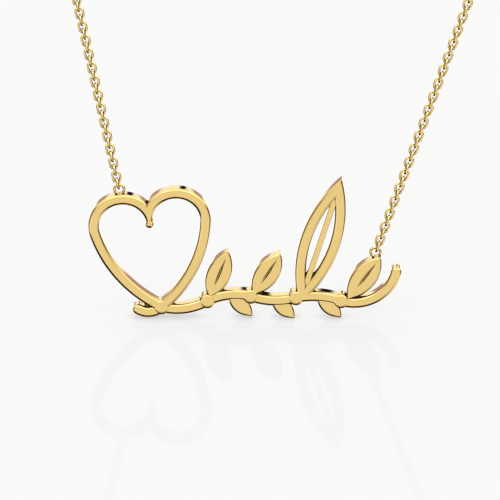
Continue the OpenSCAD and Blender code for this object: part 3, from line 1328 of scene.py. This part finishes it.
ROOM = (
    Zone("wall behind", (1.2, 1.3, 1.6), y=(0.55, FAR)),
    Zone("floor behind", (1.3, 1.36, 1.6), y=(0.45, FAR), z=(-FAR, -0.16)),
    Zone("left skirting", (0.54, 0.36, 0.4), (-0.6, -0.22), (0.7, FAR), (-0.06, 0.22), 0.05),
    Zone("right skirting", (0.54, 0.36, 0.4), (0.24, 0.6), (0.7, FAR), (-0.06, 0.22), 0.05),
    Zone("doorway", (0.012, 0.002, 0.006), (0.075, 0.21), (0.7, FAR), (0.16, 0.6), 0.03),
    Zone("softbox", (1.5, 1.5, 1.45), (-0.7, 0.95), (-FAR, 0.25), (0.15, FAR), 0.15),
    Zone("low light", (1.15, 1.15, 1.25), (-0.66, -0.16), (-FAR, -0.3), (-0.6, -0.1), 0.06),
    Zone("window sill", (0.88, 0.88, 0.72), (-0.6, 0.6), (-FAR, 0), (-0.28, 0.13), 0.06),
    Zone("table below", (0.015, 0.008, 0.006), x=(-FAR, 0.34), z=(-FAR, -0.52), soft=0.06),
    Zone("floor below", (0.22, 0.15, 0.09), y=(-0.06, 0.34), z=(-FAR, -0.86)),
    Zone("right wall", (0.2, 0.14, 0.09), x=(0.7, FAR), z=(-0.6, 0.1), soft=0.1),
    Zone("left wall", (0.27, 0.18, 0.1), x=(-FAR, -0.76), z=(-0.7, 0.3), soft=0.1),
)


@dataclass
class Studio:
    """White floor, soft light and the camera.

    Attributes:
        scale: millimetres that a pixel shows at the plate.
        elevation: how far the camera looks down, in degrees.
        distance: from the camera to its target.
        centre_x: where the picture's middle lies along X.
        rise: height of the picture's middle over the plate's foot, in the picture's plane.
        foot_y, foot_z: the plate's front and its foot.
        floor_z: the floor.
        floor_size: half the floor's side, in metres.
        ambient: light of the plain room.
        mirrored_twice: range of the ray depth in which light turns from mirrored once to twice.
        crevice: part of the light that is left when it is mirrored twice.
        picture: pixels across the picture.
        sensor: width of the camera's sensor, in its own millimetres.
        lights: name, place, size and power of each light.
    """

    scale: float = 0.12
    elevation: float = 24
    distance: float = 650
    centre_x: float = 0.92
    rise: float = 8.22
    foot_y: float = -109.75
    foot_z: float = -100.0
    floor_z: float = -100.03
    floor_size: float = 3.0
    ambient: float = 0.955
    mirrored_twice: Pair = (2.2, 2.8)
    crevice: float = 0.05
    picture: int = 500
    sensor: float = 36
    lights: tuple[tuple[str, Triple, float, float], ...] = (
        ("key", (-0.7, -0.9, 1.4), 0.5, 1.2), ("fill", (0.9, -0.6, 1.2), 0.4, 0.8))

    def camera(self) -> bpy.types.Camera:
        """The camera, at the photograph's angle and with its long lens.

        Its target lies above the plate's foot by the rise in the picture's plane, and the lens
        shows all the picture's pixels at the scale at the target's distance.

        Returns:
            The camera's data.
        """
        e = math.radians(self.elevation)
        up = Vector((0, math.sin(e), math.cos(e)))
        target = Vector((self.centre_x, self.foot_y, self.foot_z)) + up * self.rise
        back = Vector((0, -math.cos(e), math.sin(e)))
        data = bpy.data.cameras.new("camera")
        data.sensor_width = self.sensor
        data.lens = self.sensor * self.distance / (self.picture * self.scale)
        data.clip_start, data.clip_end = 0.01, 20
        eye = linked("camera", data)
        eye.location = (target + back * self.distance) * MM
        eye.rotation_euler = (math.radians(90 - self.elevation), 0, 0)
        bpy.context.scene.camera = eye
        return data

    def floor(self, finish: bpy.types.Material) -> bpy.types.Object:
        """A wide square floor just under the plate's foot.

        Args:
            finish: its material.

        Returns:
            The floor, which isn't part of the object.
        """
        mesh = bpy.data.meshes.new("floor")
        corners = [(x * self.floor_size, y * self.floor_size, self.floor_z * MM)
                   for x, y in ((-1, -1), (1, -1), (1, 1), (-1, 1))]
        mesh.from_pydata(corners, [], [(0, 1, 2, 3)])
        mesh.materials.append(finish)
        floor = linked("floor", mesh)
        floor.visible_glossy = False
        return floor

    def light(self, name: str, where: Triple, size: float, power: float) -> None:
        """A square softbox that faces the plate.

        Args:
            name: its name.
            where: its place in metres, from the plate's foot.
            size: its side in metres.
            power: watts.
        """
        data = bpy.data.lights.new(name, "AREA")
        data.size, data.energy = size, power
        lamp = linked(name, data)
        foot = Vector((0, self.foot_y, self.foot_z)) * MM
        lamp.location = foot + Vector(where)
        lamp.rotation_euler = (-Vector(where)).to_track_quat("-Z", "Y").to_euler()

    def world(self) -> bpy.types.World:
        """The room: plain white, and in reflections its zones, each laid over the ones before.

        Light that is mirrored more than once has only a part of its strength, so that crevices
        and the image in the floor are darker.

        Returns:
            The world.
        """
        world = bpy.data.worlds.new("studio")
        nodes = Nodes(world)
        way = nodes.add("SeparateXYZ", {0: nodes.add("TexCoord", {})["Generated"]})
        shade = WHITE
        for zone in ROOM:
            # Inputs 6 and 7 and output 2 of a Mix node are its colours
            feeds = {0: zone.share(nodes, way), 6: shade, 7: (*zone.colour, 1)}
            shade = nodes.add("Mix", feeds, data_type="RGBA")[2]
        path = nodes.add("LightPath", {})
        fade = nodes.ramp(path["Ray Depth"], *self.mirrored_twice, 1.0, self.crevice)
        plain = nodes.add("Background", {"Color": WHITE, "Strength": self.ambient})
        mirrored = nodes.add("Background", {"Color": shade, "Strength": fade})
        mix = nodes.add("MixShader", {"Fac": path["Is Glossy Ray"], 1: plain[0], 2: mirrored[0]})
        nodes.add("OutputWorld", {"Surface": mix[0]})
        bpy.context.scene.world = world
        return world

    def build(self) -> None:
        """Builds the camera, the floor, the room and the lights, and sets plain colours."""
        self.camera()
        self.floor(FloorFinish().material())
        self.world()
        for lamp in self.lights:
            self.light(*lamp)
        settings = bpy.context.scene.view_settings
        settings.view_transform, settings.look = "Standard", "None"
        LOG.info("studio: floor at %.1f mm", self.floor_z)


# Both sides' counts, angles and hidden ways, as in the part's source, and how each last link lies
STRANDS = (
    (Side.LEFT, 32, 11.7, ((0.48, 0.925, 0.36), (0.69, 0.82, 0.245)), (0, 0, 1)),
    (Side.RIGHT, 42, 19.1, ((0.62, 0.92, 0.37), (0.78, 0.81, 0.25)), (0, 1, 0)),
)


def main() -> None:
    """Builds the studio, the plate, the chain and the clasp."""
    logging.basicConfig(level=logging.INFO, format="%(name)s: %(message)s")
    face = GoldFinish("polished_gold", (0.83, 0.605, 0.235), roughness=0.08, patchiness=0.02,
                      marks=0.08, marks_per_m=5200).material()
    # The chain's gold is the plate's gold made lighter, as painted light that brightens the links'
    # mids and highlights
    wire = GoldFinish("wire_gold_painted_lighter", (0.94, 0.69, 0.27), roughness=0.06, patchiness=0.02,
                      marks=0.06, marks_per_m=7800).material()
    Studio().build()
    plate = Plate()
    clasp = Clasp()
    made = [plate.build(face)]
    for side, count, spread, way, wide in STRANDS:
        pull = plate.pull(side, spread)
        made += Chain(side, pull, count, spread, way, clasp.holds()[side], wide).build(wire)
    made += clasp.build(wire)
    for piece in made:
        LOG.info("%s: %d faces", piece.name, len(piece.data.polygons))


if __name__ == "__main__":
    main()
